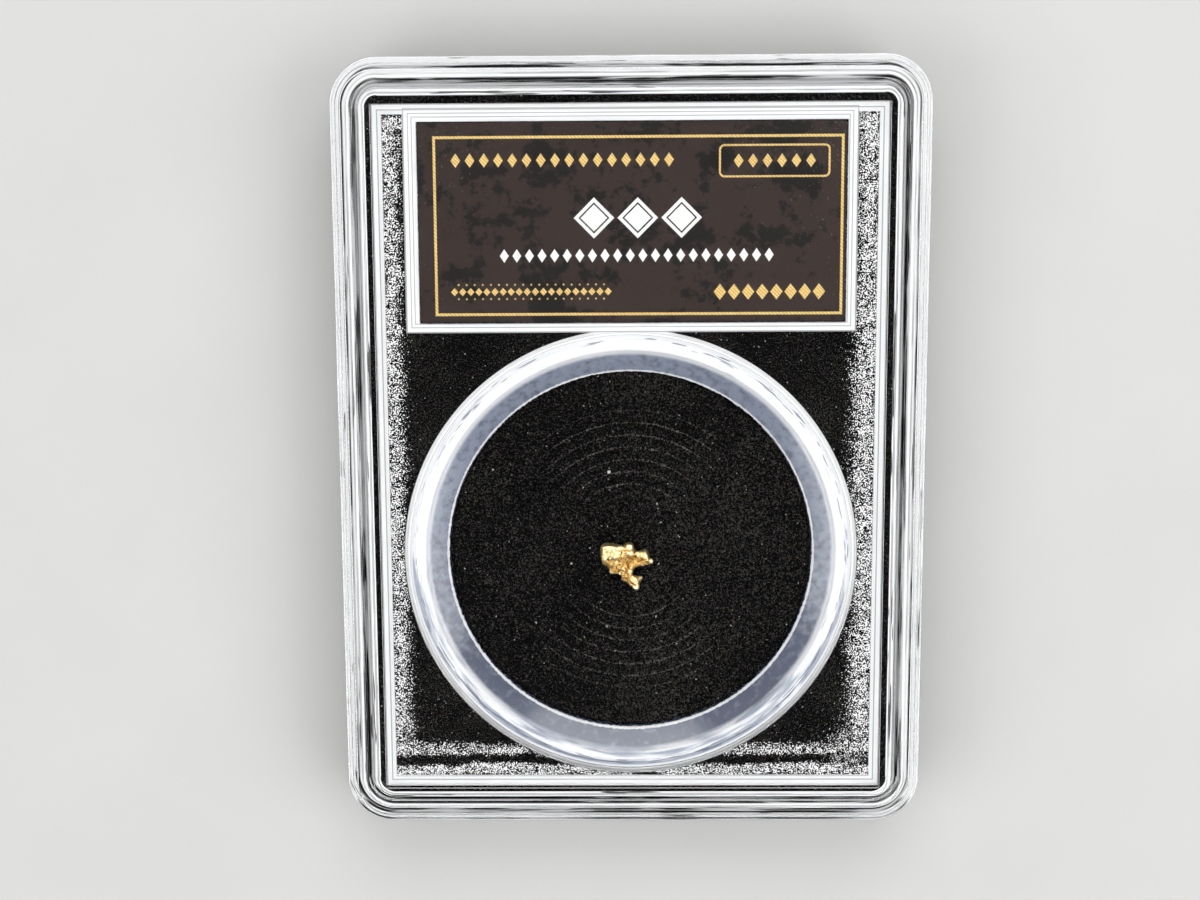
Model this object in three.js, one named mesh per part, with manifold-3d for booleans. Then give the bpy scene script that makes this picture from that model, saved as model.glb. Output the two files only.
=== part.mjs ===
// A natural gold nugget sealed in a clear plastic display slab, in millimetres.
// The slab lies flat: +X is its width, +Y points to the label end, +Z is the side one looks at.
// The origin is on the surface it rests on, under the middle of the slab.

import * as THREE from 'three';
import { mergeVertices } from 'three/addons/utils/BufferGeometryUtils.js';
import { MarchingCubes } from 'three/addons/objects/MarchingCubes.js';
import Module from 'manifold-3d';

// Driving dimensions of the slab
const slab = { width: 63, height: 83, thickness: 9, cornerRadius: 5, cornerSegments: 5 };
const partingZ = 4.4;

// The rim runs from the outer edge to the flat field. It is a little wider at the label end.
const rim = { side: 3.6, top: 4.0, bottom: 3.2 };

// Each step of the rim: how far in it starts, as a share of the rim, and the height that it has there
const frontSteps = [
  { share: 0, z: 7.7 },
  { share: 0.17, z: 8.4 },
  { share: 0.33, z: 9.0 },
];
const innerSteps = [
  { share: 0.66, z: 8.75 },
  { share: 0.84, z: 8.5 },
  { share: 1, z: 8.3 },
];
const backSteps = [
  { share: 0, z: 0.9 },
  { share: 0.2, z: 0.4 },
  { share: 0.36, z: 0 },
];
const backPanel = { share: 0.72, z: 0.6 };
const cavity = { share: 0.84, floorZ: 2.0, ceilingZ: 6.7 };
const groove = { outer: 0.38, inner: 0.62, z: 6.0 };
const tongue = { outer: 0.41, inner: 0.59, z: 5.9 };

// The sunk window field, its wall and the ribs under it
const well = { left: -27.2, right: 27.1, bottom: -37.6, top: 36.6, z: 8.05, wall: 1.0, ribZ: 6.1 };

// The label's pocket and card
const pocket = { left: -23.95, right: 23.9, bottom: 12.65, top: 36.2, ribZ: 6.1 };
const pocketOpening = { left: -22.55, right: 22.85, bottom: 13.6, top: 34.8 };
const card = { gap: 0.1, z: 6.1, thickness: 0.33 };

// The round gasket that holds the specimen's ground
const ring = { x: -0.15, y: -11.6, outer: 24.05, crest: 22.1, inner: 19.85 };
const ringHeights = { base: 2.0, slopeFoot: 5.15, slopeHead: 6.35, top: 6.7, soft: 0.22 };
const seat = { inner: 24.2, outer: 24.55 };
const ringSides = 54;

// The black foam: a mat around the gasket and a disc inside it
const mat = { clearance: 0.12, z: 2.0, topZ: 6.1, holeRadius: 24.2 };
const disc = { radius: 19.7, z: 2.0, topZ: 4.3 };

// The nugget: its middle, the reach of the grid that shapes it, and how softly its lumps run together
const nugget = { x: -0.53, y: -13.15, reach: 3.2, midZ: 1.0, cells: 36, blend: 0.07, edgeBlend: 0.09 };
// Below this height the sides draw in towards the foot, by this much
const undercut = { z: 0.95, by: 0.5 };

// Its outline from above, taken clockwise from the top left corner of the block
const outline = [
  [-2.87, 1.92], [-2.72, 2.38], [-2.29, 2.57], [-1.6, 2.48], [-0.92, 2.46], [-0.4, 2.36],
  [-0.2, 2.57], [0.09, 2.69], [0.41, 2.69], [0.67, 2.55], [0.77, 2.2], [0.89, 1.84],
  [1.12, 1.65], [1.42, 1.63], [1.68, 1.81], [1.95, 1.9], [2.21, 1.79], [2.37, 1.52],
  [2.42, 1.09], [2.5, 0.84], [2.76, 0.76], [2.86, 0.54], [2.72, 0.34], [2.53, 0.2],
  [2.32, -0.03], [2.0, -0.1], [1.42, -0.07], [1.12, -0.24], [0.88, -0.44], [0.7, -0.7],
  [0.62, -0.96], [0.84, -1.08], [1.07, -1.18], [1.31, -1.27], [1.62, -1.17], [1.68, -1.38],
  [1.52, -1.64], [1.37, -1.9], [1.34, -2.26], [1.29, -2.56], [1.14, -2.77], [0.92, -2.75],
  [0.57, -2.55], [0.36, -2.32], [0.12, -2.05], [-0.17, -1.9], [-0.46, -1.76], [-0.65, -1.54],
  [-0.65, -1.22], [-0.8, -0.97], [-1.13, -0.98], [-1.55, -0.95], [-1.9, -1.0], [-2.05, -0.82],
  [-1.96, -0.6], [-2.06, -0.38], [-2.27, -0.28], [-2.31, 0.0], [-2.56, 0.24], [-2.68, 0.5],
  [-2.78, 0.92], [-2.83, 1.36],
];

// Each lump: its middle, its half sizes, how blocky it is (2 is round) and its turn in degrees
const lumps = [
  { name: 'block', at: [-1.72, 1.66, 0.86], size: [1.12, 0.86, 0.96], blocky: 3.6, turn: -4 },
  { name: 'blockCorner', at: [-2.36, 2.1, 0.98], size: [0.6, 0.52, 0.94], blocky: 2.6, turn: 20 },
  { name: 'blockEdge', at: [-2.42, 1.0, 0.8], size: [0.46, 0.78, 0.84], blocky: 2.6, turn: 10 },
  { name: 'blockBrow', at: [-1.05, 2.1, 1.08], size: [0.78, 0.3, 0.78], blocky: 2.6, turn: 6 },
  { name: 'blockLip', at: [-1.2, 1.28, 1.1], size: [0.6, 0.4, 0.72], blocky: 2.4, turn: 14 },
  { name: 'loop', at: [-0.2, 1.46, 1.06], size: [0.33, 0.5, 0.72], blocky: 2.4, turn: -12 },
  { name: 'knob', at: [0.26, 2.28, 1.12], size: [0.48, 0.44, 0.88], blocky: 2.4, turn: 0 },
  { name: 'knobNeck', at: [0.38, 1.74, 1.02], size: [0.36, 0.62, 0.8], blocky: 2.4, turn: 16 },
  { name: 'saddle', at: [0.96, 1.36, 0.78], size: [0.66, 0.3, 0.68], blocky: 2.2, turn: -16 },
  { name: 'lobe', at: [1.78, 1.4, 0.86], size: [0.6, 0.46, 0.86], blocky: 2.8, turn: 12 },
  { name: 'lobeCrest', at: [2.08, 1.2, 0.9], size: [0.32, 0.64, 0.78], blocky: 2.4, turn: 14 },
  { name: 'lobeBall', at: [2.6, 0.56, 0.72], size: [0.28, 0.26, 0.36], blocky: 2, turn: 0 },
  { name: 'lobeShelf', at: [1.7, 0.36, 0.4], size: [0.96, 0.52, 0.5], blocky: 2.4, turn: 8 },
  { name: 'plateau', at: [0.2, 0.62, 0.5], size: [1.3, 0.86, 0.62], blocky: 3, turn: -6 },
  { name: 'leftShelf', at: [-1.4, 0.4, 0.46], size: [1.3, 0.62, 0.6], blocky: 2.6, turn: -6 },
  { name: 'leftProng', at: [-1.84, -0.76, 0.5], size: [0.25, 0.3, 0.4], blocky: 2, turn: 0 },
  { name: 'lowShelf', at: [-1.3, -0.48, 0.4], size: [0.82, 0.56, 0.48], blocky: 2.6, turn: 0 },
  { name: 'centreLump', at: [-0.5, 0.0, 0.66], size: [0.34, 0.26, 0.62], blocky: 2.2, turn: -20 },
  { name: 'centre', at: [-0.2, -0.5, 0.46], size: [0.72, 0.84, 0.62], blocky: 2.6, turn: 0 },
  { name: 'notchRidge', at: [0.36, -0.42, 0.68], size: [0.24, 0.76, 0.74], blocky: 2.2, turn: -14 },
  { name: 'lowBody', at: [0.0, -1.3, 0.44], size: [0.76, 0.66, 0.56], blocky: 2.6, turn: 20 },
  { name: 'lowBump', at: [-0.5, -1.46, 0.5], size: [0.24, 0.3, 0.46], blocky: 2, turn: 0 },
  { name: 'tail', at: [0.84, -1.44, 0.62], size: [0.56, 0.44, 0.8], blocky: 2.6, turn: -24 },
  { name: 'tailProng', at: [1.46, -1.34, 0.76], size: [0.34, 0.22, 0.34], blocky: 2, turn: 26 },
  { name: 'tailFoot', at: [0.62, -2.06, 0.5], size: [0.6, 0.5, 0.56], blocky: 2.4, turn: -30 },
  { name: 'tip', at: [1.02, -2.26, 0.62], size: [0.36, 0.52, 0.7], blocky: 3, turn: -8 },
];

// Each pit or crease, in the same form
const pits = [
  { name: 'deepPit', at: [-2.06, 0.94, 1.62], size: [0.17, 0.3, 0.5], blocky: 2, turn: 12 },
  { name: 'blockDimple', at: [-1.46, 1.66, 1.92], size: [0.2, 0.12, 0.26], blocky: 2, turn: 0 },
  { name: 'blockGroove', at: [-0.62, 1.4, 1.56], size: [0.09, 0.42, 0.5], blocky: 2, turn: -8 },
  { name: 'browCrease', at: [-0.8, 1.86, 1.86], size: [0.5, 0.08, 0.3], blocky: 2, turn: 14 },
  { name: 'cornerCrease', at: [-2.28, 1.92, 1.96], size: [0.34, 0.09, 0.26], blocky: 2, turn: -14 },
  { name: 'loopHollow', at: [-0.12, 1.6, 1.82], size: [0.09, 0.28, 0.34], blocky: 2, turn: -18 },
  { name: 'shelfPit', at: [-1.38, -0.02, 1.06], size: [0.19, 0.19, 0.42], blocky: 2, turn: 0 },
  { name: 'lowPit', at: [-0.66, -0.74, 0.98], size: [0.17, 0.16, 0.36], blocky: 2, turn: 0 },
  { name: 'lobeDimple', at: [1.76, 1.24, 1.78], size: [0.16, 0.12, 0.2], blocky: 2, turn: 0 },
  { name: 'tailCrease', at: [0.78, -1.9, 1.16], size: [0.4, 0.1, 0.34], blocky: 2, turn: 8 },
  { name: 'tailHollow', at: [1.1, -1.3, 1.4], size: [0.26, 0.13, 0.3], blocky: 2, turn: -20 },
  { name: 'plateauValley', at: [0.5, 0.36, 1.28], size: [0.9, 0.16, 0.26], blocky: 2, turn: -10 },
  { name: 'shelfValley', at: [1.5, 0.56, 1.0], size: [0.5, 0.1, 0.26], blocky: 2, turn: 6 },
  { name: 'centreValley', at: [0.04, -0.5, 1.2], size: [0.12, 0.6, 0.24], blocky: 2, turn: -8 },
];

const wasm = await Module();
wasm.setup();

function solidOf(geometry) {
  geometry.deleteAttribute('normal');
  geometry.deleteAttribute('uv');
  const merged = mergeVertices(geometry, 1e-5);
  const vertProperties = new Float32Array(merged.attributes.position.array);
  const triVerts = new Uint32Array(merged.index.array);
  return new wasm.Manifold(new wasm.Mesh({ numProp: 3, vertProperties, triVerts }));
}

function geometryOf(solid) {
  const mesh = solid.getMesh();
  const geometry = new THREE.BufferGeometry();
  geometry.setAttribute('position', new THREE.BufferAttribute(mesh.vertProperties, 3));
  geometry.setIndex(new THREE.BufferAttribute(mesh.triVerts, 1));
  geometry.computeVertexNormals();
  return geometry;
}

function joined(solids) {
  return solids.reduce((whole, next) => whole.add(next));
}

// Outlines

function rectangle({ left, right, bottom, top }, radius = 0) {
  const shape = new THREE.Shape();
  const corners = [
    [right - radius, bottom + radius, -Math.PI / 2],
    [right - radius, top - radius, 0],
    [left + radius, top - radius, Math.PI / 2],
    [left + radius, bottom + radius, Math.PI],
  ];
  if (radius === 0) {
    shape.setFromPoints(corners.map(([x, y]) => new THREE.Vector2(x, y)));
    return shape;
  }
  for (const [x, y, start] of corners) {
    shape.absarc(x, y, radius, start, start + Math.PI / 2, false);
  }
  shape.closePath();
  return shape;
}

// The slab's outline moved inwards by a share of the rim's width
function rimBox(share) {
  return {
    left: -slab.width / 2 + rim.side * share,
    right: slab.width / 2 - rim.side * share,
    bottom: -slab.height / 2 + rim.bottom * share,
    top: slab.height / 2 - rim.top * share,
  };
}

function rimOutline(share, clearance = 0) {
  const radius = slab.cornerRadius - rim.side * share - clearance;
  return rectangle(grown(rimBox(share), -clearance), radius);
}

function grown(box, by) {
  return { left: box.left - by, right: box.right + by, bottom: box.bottom - by, top: box.top + by };
}

function layer(shape, fromZ, toZ) {
  const settings = { depth: toZ - fromZ, bevelEnabled: false, curveSegments: slab.cornerSegments };
  const geometry = new THREE.ExtrudeGeometry(shape, settings);
  geometry.translate(0, 0, fromZ);
  return solidOf(geometry);
}

function frame(outer, inner, fromZ, toZ) {
  return layer(outer, fromZ, toZ).subtract(layer(inner, fromZ - 1, toZ + 1));
}

// A body of revolution from a closed profile of [radius, z] points
function turned(profile, sides = ringSides) {
  const points = profile.map(([radius, z]) => new THREE.Vector2(radius, z));
  const geometry = new THREE.LatheGeometry(points, sides);
  geometry.rotateX(Math.PI / 2);
  geometry.translate(ring.x, ring.y, 0);
  return solidOf(geometry);
}

function tube(innerRadius, outerRadius, fromZ, toZ) {
  return turned([
    [innerRadius, fromZ],
    [outerRadius, fromZ],
    [outerRadius, toZ],
    [innerRadius, toZ],
    [innerRadius, fromZ],
  ]);
}

function round(radius, fromZ, toZ) {
  return turned([
    [0, fromZ],
    [radius, fromZ],
    [radius, toZ],
    [0, toZ],
  ]);
}

// The slab's two halves

function frontShell() {
  const above = slab.thickness + 1;
  const steps = frontSteps.map(({ share, z }) => layer(rimOutline(share), partingZ, z));
  let shell = joined(steps);
  for (const { share, z } of innerSteps) {
    shell = shell.subtract(layer(rimOutline(share), z, above));
  }
  shell = shell.subtract(layer(rectangle(well), well.z, above));
  shell = shell.subtract(layer(rimOutline(cavity.share), partingZ - 1, cavity.ceilingZ));
  const grooveOutlines = [rimOutline(groove.outer), rimOutline(groove.inner)];
  shell = shell.subtract(frame(...grooveOutlines, partingZ - 1, groove.z));
  const ribRoot = cavity.ceilingZ + 0.5;
  const wellRib = frame(rectangle(well), rectangle(grown(well, -well.wall)), well.ribZ, ribRoot);
  const pocketRib = frame(rectangle(pocket), rectangle(pocketOpening), pocket.ribZ, ribRoot);
  const seatRib = tube(seat.inner, seat.outer, well.ribZ, ribRoot);
  const cleared = seatRib.subtract(layer(rectangle(pocket), 0, above));
  return joined([shell, wellRib, pocketRib, cleared]);
}

function backShell() {
  const steps = backSteps.map(({ share, z }) => layer(rimOutline(share), z, partingZ));
  const under = layer(rimOutline(backPanel.share), -1, backPanel.z);
  const inside = layer(rimOutline(cavity.share), cavity.floorZ, partingZ + 1);
  const tongueOutlines = [rimOutline(tongue.outer), rimOutline(tongue.inner)];
  const tongueRib = frame(...tongueOutlines, partingZ - 0.5, tongue.z);
  return joined(steps).subtract(under).subtract(inside).add(tongueRib);
}

// What lies inside

function labelCard() {
  return layer(rectangle(grown(pocketOpening, -card.gap)), card.z, card.z + card.thickness);
}

function gasketRing() {
  const { base, slopeFoot, slopeHead, top, soft } = ringHeights;
  return turned([
    [ring.inner, base],
    [ring.outer, base],
    [ring.outer, top - soft],
    [ring.outer - soft, top],
    [ring.crest + soft, top],
    [ring.crest, slopeHead],
    [ring.inner + soft, slopeFoot],
    [ring.inner, slopeFoot - soft],
    [ring.inner, base],
  ]);
}

function foamMat() {
  const sheet = layer(rimOutline(cavity.share, mat.clearance), mat.z, mat.topZ);
  return sheet.subtract(round(mat.holeRadius, mat.z - 1, mat.topZ + 1));
}

function foamDisc() {
  return round(disc.radius, disc.z, disc.topZ);
}

// The nugget

// A slow wave over space, which makes the skin uneven
function wander(x, y, z) {
  const slow = Math.sin(4.1 * x + 1.7 * y) * Math.cos(3.3 * y - 2.2 * z);
  const middling = Math.sin(6.7 * z + 2.9 * x - 1.1) * Math.cos(5.3 * y + 3.1 * x);
  const quick = Math.sin(11.3 * x - 4.2 * z) * Math.sin(12.1 * y + 3.3 * z + 0.7);
  return 0.03 * slow + 0.025 * middling + 0.018 * quick;
}

// How far a point is outside a lump, roughly, in millimetres
function lumpDistance({ at, size, blocky, turn }, x, y, z) {
  const angle = (-turn * Math.PI) / 180;
  const [dx, dy] = [x - at[0], y - at[1]];
  const across = Math.abs(Math.cos(angle) * dx - Math.sin(angle) * dy) / size[0];
  const along = Math.abs(Math.sin(angle) * dx + Math.cos(angle) * dy) / size[1];
  const up = Math.abs(z - at[2]) / size[2];
  const reached = (across ** blocky + along ** blocky + up ** blocky) ** (1 / blocky);
  return (reached - 1) * Math.min(...size);
}

function softLeast(distances, blend) {
  const total = distances.reduce((sum, distance) => sum + Math.exp(-distance / blend), 0);
  return -blend * Math.log(total);
}

function softMost(a, b, blend) {
  return -softLeast([-a, -b], blend);
}

// How far a point is outside the outline, seen from above
function outlineDistance(edge, x, y) {
  let nearest = Infinity;
  let inside = false;
  for (const [index, to] of edge.entries()) {
    const from = edge[(index + edge.length - 1) % edge.length];
    const [ex, ey] = [to.x - from.x, to.y - from.y];
    const [px, py] = [x - from.x, y - from.y];
    const share = Math.min(1, Math.max(0, (px * ex + py * ey) / (ex * ex + ey * ey)));
    nearest = Math.min(nearest, Math.hypot(px - share * ex, py - share * ey));
    if (from.y > y !== to.y > y && px < (ex * py) / ey) {
      inside = !inside;
    }
  }
  return inside ? -nearest : nearest;
}

function nuggetDistance(edgeDistance, x, y, z) {
  const body = softLeast(lumps.map((lump) => lumpDistance(lump, x, y, z)), nugget.blend);
  const low = Math.max(0, 1 - z / undercut.z);
  const side = edgeDistance + undercut.by * low * low;
  const whole = softMost(body, side, nugget.edgeBlend) + wander(x, y, z);
  const nearestPit = Math.min(...pits.map((pit) => lumpDistance(pit, x, y, z)));
  return Math.max(whole, -nearestPit);
}

function goldNugget() {
  const edge = new THREE.SplineCurve(outline.map(([x, y]) => new THREE.Vector2(x, y)));
  edge.points.push(edge.points[0]);
  const edgePoints = edge.getPoints(outline.length * 2).slice(0, -1);
  const cubes = new MarchingCubes(nugget.cells, undefined, false, false, 20000);
  cubes.isolation = 0;
  const place = (index) => ((index - cubes.halfsize) / cubes.halfsize) * nugget.reach;
  for (let j = 0; j < cubes.size; j += 1) {
    for (let i = 0; i < cubes.size; i += 1) {
      const edgeDistance = outlineDistance(edgePoints, place(i), place(j));
      for (let k = 0; k < cubes.size; k += 1) {
        const height = place(k) + nugget.midZ;
        const index = i + j * cubes.yd + k * cubes.zd;
        cubes.field[index] = -nuggetDistance(edgeDistance, place(i), place(j), height);
      }
    }
  }
  cubes.update();
  const skin = new THREE.BufferGeometry();
  const corners = cubes.positionArray.slice(0, cubes.count * 3);
  skin.setAttribute('position', new THREE.BufferAttribute(corners, 3));
  skin.scale(nugget.reach, nugget.reach, nugget.reach);
  skin.translate(0, 0, nugget.midZ);
  const room = { left: -5, right: 5, bottom: -5, top: 5 };
  const below = layer(rectangle(room), -5, 0);
  return solidOf(skin).subtract(below).translate(nugget.x, nugget.y, disc.topZ);
}

// Finishes

const clearPlastic = { color: 0xf2f6f8, roughness: 0.06, metalness: 0, transparent: true, opacity: 0.3 };
const milkySilicone = { color: 0xb9c4d2, roughness: 0.35, metalness: 0, transparent: true, opacity: 0.7 };
const blackFoam = { color: 0x161514, roughness: 0.95, metalness: 0 };
const darkCard = { color: 0x241e1c, roughness: 0.55, metalness: 0 };
const gold = { color: 0xe0a63c, roughness: 0.28, metalness: 1 };

const nuggetSlab = new THREE.Group();

function addPiece(name, solid, finish) {
  const mesh = new THREE.Mesh(geometryOf(solid), new THREE.MeshStandardMaterial(finish));
  mesh.name = name;
  nuggetSlab.add(mesh);
}

addPiece('back_shell', backShell(), clearPlastic);
addPiece('front_shell', frontShell(), clearPlastic);
addPiece('foam_mat', foamMat(), blackFoam);
addPiece('gasket_ring', gasketRing(), milkySilicone);
addPiece('foam_disc', foamDisc(), blackFoam);
addPiece('label_card', labelCard(), darkCard);
addPiece('gold_nugget', goldNugget(), gold);

export default nuggetSlab;
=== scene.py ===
import math

import bmesh
import bpy
from mathutils import Matrix, Vector, noise


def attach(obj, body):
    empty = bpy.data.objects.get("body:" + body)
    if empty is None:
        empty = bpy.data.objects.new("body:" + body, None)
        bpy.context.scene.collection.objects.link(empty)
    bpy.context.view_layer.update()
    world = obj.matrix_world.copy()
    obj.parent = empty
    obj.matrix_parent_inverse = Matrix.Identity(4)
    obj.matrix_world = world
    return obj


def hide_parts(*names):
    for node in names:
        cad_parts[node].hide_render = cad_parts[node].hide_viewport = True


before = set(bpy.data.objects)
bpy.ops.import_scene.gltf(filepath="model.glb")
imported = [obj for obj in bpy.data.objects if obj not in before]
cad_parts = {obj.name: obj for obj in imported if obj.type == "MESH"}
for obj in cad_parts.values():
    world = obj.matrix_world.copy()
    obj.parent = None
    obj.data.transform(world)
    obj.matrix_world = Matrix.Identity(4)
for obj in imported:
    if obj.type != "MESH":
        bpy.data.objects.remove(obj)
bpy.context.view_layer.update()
mm = 0.001
weldGap = 1e-7  # points closer than this are merged
cutGap = 2e-7  # the same after a boolean, which leaves its points less exact
cutPast = 1  # how far a cutter reaches past what it cuts, in mm


# small helpers for meshes

def newObject(name, bm, smoothAngle=25):  # a finished bmesh as an object, crisp where it turns by more
    limit = math.radians(smoothAngle)
    for face in bm.faces:
        face.smooth = True
    for edge in bm.edges:
        edge.smooth = len(edge.link_faces) == 2 and edge.calc_face_angle(0) < limit
    mesh = bpy.data.meshes.new(name)
    bm.to_mesh(mesh)
    bm.free()
    piece = bpy.data.objects.new(name, mesh)
    bpy.context.scene.collection.objects.link(piece)
    return piece


def keepFlats(piece):  # shades the narrow rounded edges and leaves the broad faces flat
    weighted = piece.modifiers.new("flats", "WEIGHTED_NORMAL")
    weighted.weight, weighted.keep_sharp = 100, True
    return piece


def place(piece, material, node):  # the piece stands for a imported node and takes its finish
    piece.data.materials.clear()
    piece.data.materials.append(material)
    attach(piece, "root")
    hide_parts(node)


# a plate with rounded corners and, if soft, a rounded upper rim: the box is left, right, bottom, top in mm
def block(box, radius, low, high, soft=0.0, cornerSteps=16, softSteps=4):
    left, right, bottom, top = (v * mm for v in box)
    bm = bmesh.new()
    bmesh.ops.create_grid(bm, x_segments=1, y_segments=1, size=0.5)
    bmesh.ops.scale(bm, vec=(right - left, top - bottom, 1), verts=bm.verts)
    bmesh.ops.translate(bm, vec=((left + right) / 2, (bottom + top) / 2, low * mm), verts=bm.verts)
    if radius > 0:
        bmesh.ops.bevel(bm, geom=bm.verts[:], offset=radius * mm, affect="VERTICES",
                        segments=cornerSteps, profile=0.5, material=-1)
    lifted = bmesh.ops.extrude_face_region(bm, geom=bm.faces[:])["geom"]
    raised = [v for v in lifted if isinstance(v, bmesh.types.BMVert)]
    bmesh.ops.translate(bm, vec=(0, 0, (high - low) * mm), verts=raised)
    if soft > 0:
        rimEdges = [e for e in bm.edges if all(v in raised for v in e.verts)]
        bmesh.ops.bevel(bm, geom=rimEdges, offset=soft * mm, affect="EDGES", segments=softSteps,
                        profile=0.5, material=-1, clamp_overlap=True)
    bmesh.ops.recalc_face_normals(bm, faces=bm.faces)
    return bm


# spins an outline of radius and height pairs, in mm, round the gasket's axis
def turned(profile, steps, closed=True, lastCuts=0):  # the cuts divide the outline's last line
    bm = bmesh.new()
    points = [bm.verts.new((r * mm, 0, z * mm)) for r, z in profile]
    ends = points[1:] + points[:1] if closed else points[1:]
    lines = [bm.edges.new(pair) for pair in zip(points, ends)]
    if lastCuts:
        bmesh.ops.subdivide_edges(bm, edges=lines[-1:], cuts=lastCuts)
    bmesh.ops.spin(bm, geom=bm.verts[:] + bm.edges[:], axis=(0, 0, 1), cent=(0, 0, 0),
                   angle=math.tau, steps=steps, use_merge=True)
    bmesh.ops.remove_doubles(bm, verts=bm.verts, dist=weldGap)
    bmesh.ops.recalc_face_normals(bm, faces=bm.faces)
    across, along = gasket["centre"]
    bmesh.ops.translate(bm, vec=(across * mm, along * mm, 0), verts=bm.verts)
    return bm


def carved(bm, cuts):  # joins or cuts one bmesh with others, in order, and returns the result as a bmesh
    base = newObject("carving", bm)
    tools = []
    for operation, toolMesh in cuts:
        tool = newObject("tool", toolMesh)
        step = base.modifiers.new("cut", "BOOLEAN")
        step.operation, step.solver, step.object = operation, "EXACT", tool
        tools.append(tool)
    bpy.context.view_layer.update()
    done = base.evaluated_get(bpy.context.evaluated_depsgraph_get()).to_mesh()
    result = bmesh.new()
    result.from_mesh(done)
    for spare in (base, *tools):
        bpy.data.objects.remove(spare)
    bmesh.ops.remove_doubles(result, verts=result.verts, dist=cutGap)
    return result


def softenEdges(bm, width, segments=2, above=35):  # rounds every edge sharper than the angle
    limit = math.radians(above)
    sharp = [e for e in bm.edges if len(e.link_faces) == 2 and e.calc_face_angle(0) > limit]
    bmesh.ops.bevel(bm, geom=sharp, offset=width * mm, affect="EDGES", segments=segments, profile=0.5,
                    material=-1, clamp_overlap=True, loop_slide=True)


def smoothed(bm, factor):  # one round of evening out the points
    bmesh.ops.smooth_vert(bm, verts=bm.verts, factor=factor,
                          use_axis_x=True, use_axis_y=True, use_axis_z=True)


# shader wiring

class Wire:  # a socket that can be used in arithmetic
    def __init__(self, finish, socket):
        self.finish, self.socket = finish, socket

    def __add__(self, other):
        return self.finish.maths("ADD", self, other)

    def __sub__(self, other):
        return self.finish.maths("SUBTRACT", self, other)

    def __rsub__(self, other):
        return self.finish.maths("SUBTRACT", other, self)

    def __mul__(self, other):
        return self.finish.maths("MULTIPLY", self, other)

    def __truediv__(self, other):
        return self.finish.maths("DIVIDE", self, other)

    def __pow__(self, other):
        return self.finish.maths("POWER", self, other)

    def __neg__(self):
        return 0 - self

    def __abs__(self):
        return self.finish.maths("ABSOLUTE", self)

    __radd__, __rmul__ = __add__, __mul__

    def least(self, other):
        return self.finish.maths("MINIMUM", self, other)

    def most(self, other):
        return self.finish.maths("MAXIMUM", self, other)

    def fraction(self):
        return self.finish.maths("FRACT", self)

    def ramp(self, low, high):  # rises softly from 0 at low to 1 at high
        ends = {"Value": self, "From Min": low, "From Max": high, "To Min": 0.0, "To Max": 1.0}
        return self.finish.node("ShaderNodeMapRange", {"interpolation_type": "SMOOTHSTEP"}, ends)

    def fade(self, low, high):  # falls softly from 1 at low to 0 at high
        return 1 - self.ramp(low, high)


class Finish:  # the nodes of one material, or of the sky
    def __init__(self, owner, ending="ShaderNodeOutputMaterial"):
        self.owner = owner
        owner.use_nodes = True
        self.tree = owner.node_tree
        self.tree.nodes.clear()
        self.output = self.tree.nodes.new(ending)

    def node(self, kind, settings=None, inputs=None, out=0):
        made = self.tree.nodes.new(kind)
        for key, value in (settings or {}).items():
            setattr(made, key, value)
        for key, value in (inputs or {}).items():
            if isinstance(value, Wire):
                self.tree.links.new(value.socket, made.inputs[key])
            else:
                made.inputs[key].default_value = value
        return Wire(self, made.outputs[out])

    def end(self, shader):
        self.tree.links.new(shader.socket, self.output.inputs["Surface"])
        return self.owner

    def maths(self, operation, *values):
        return self.node("ShaderNodeMath", {"operation": operation}, dict(enumerate(values)))

    def coordinates(self):  # object coordinates in millimetres: the vector, then x, y and z
        inMetres = self.node("ShaderNodeTexCoord", out="Object")
        inMm = self.node("ShaderNodeVectorMath", {"operation": "SCALE"}, {0: inMetres, "Scale": 1 / mm})
        return (inMm, *self.parts(inMm))

    def parts(self, vector):
        return [self.node("ShaderNodeSeparateXYZ", None, {0: vector}, out=axis) for axis in "XYZ"]

    def drawnOut(self, x, y, across, slow, fast):  # coordinates that draw a noise out into long streaks
        return self.node("ShaderNodeCombineXYZ", None, {"X": x * slow, "Y": y * slow, "Z": across * fast})

    def noise(self, vector, scale, detail=2.0, rough=0.5):
        inputs = {"Vector": vector, "Scale": scale, "Detail": detail, "Roughness": rough}
        return self.node("ShaderNodeTexNoise", None, inputs, out="Fac")

    def specks(self, vector, scale):  # the distance to the nearest of many scattered points
        return self.node("ShaderNodeTexVoronoi", None, {"Vector": vector, "Scale": scale}, out="Distance")

    def blend(self, factor, first, second):  # mixes two colours
        inputs = {0: factor, 6: first, 7: second}
        return self.node("ShaderNodeMix", {"data_type": "RGBA"}, inputs, out=2)

    def bump(self, height, strength, depth):
        inputs = {"Height": height, "Strength": strength, "Distance": depth * mm}
        return self.node("ShaderNodeBump", None, inputs)

    def principled(self, inputs):
        return self.node("ShaderNodeBsdfPrincipled", None, inputs)


def mostOf(masks):
    first, *others = masks
    for mask in others:
        first = first.most(mask)
    return first


# signed distances on the slab's face, in mm, below 0 inside

def boxDistance(x, y, box):
    left, right, bottom, top = box
    across = abs(x - (left + right) / 2) - (right - left) / 2
    along = abs(y - (bottom + top) / 2) - (top - bottom) / 2
    return across.most(along)


def roundedBoxDistance(x, y, box, corner):
    left, right, bottom, top = box
    across = (abs(x - (left + right) / 2) - (right - left) / 2 + corner).most(0.0)
    along = (abs(y - (bottom + top) / 2) - (top - bottom) / 2 + corner).most(0.0)
    return (across * across + along * along) ** 0.5 - corner


def discDistance(x, y, centre, radius=0.0):
    across, along = x - centre[0], y - centre[1]
    return (across * across + along * along) ** 0.5 - radius


# the camera looks down on the slab from just past its label end

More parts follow.
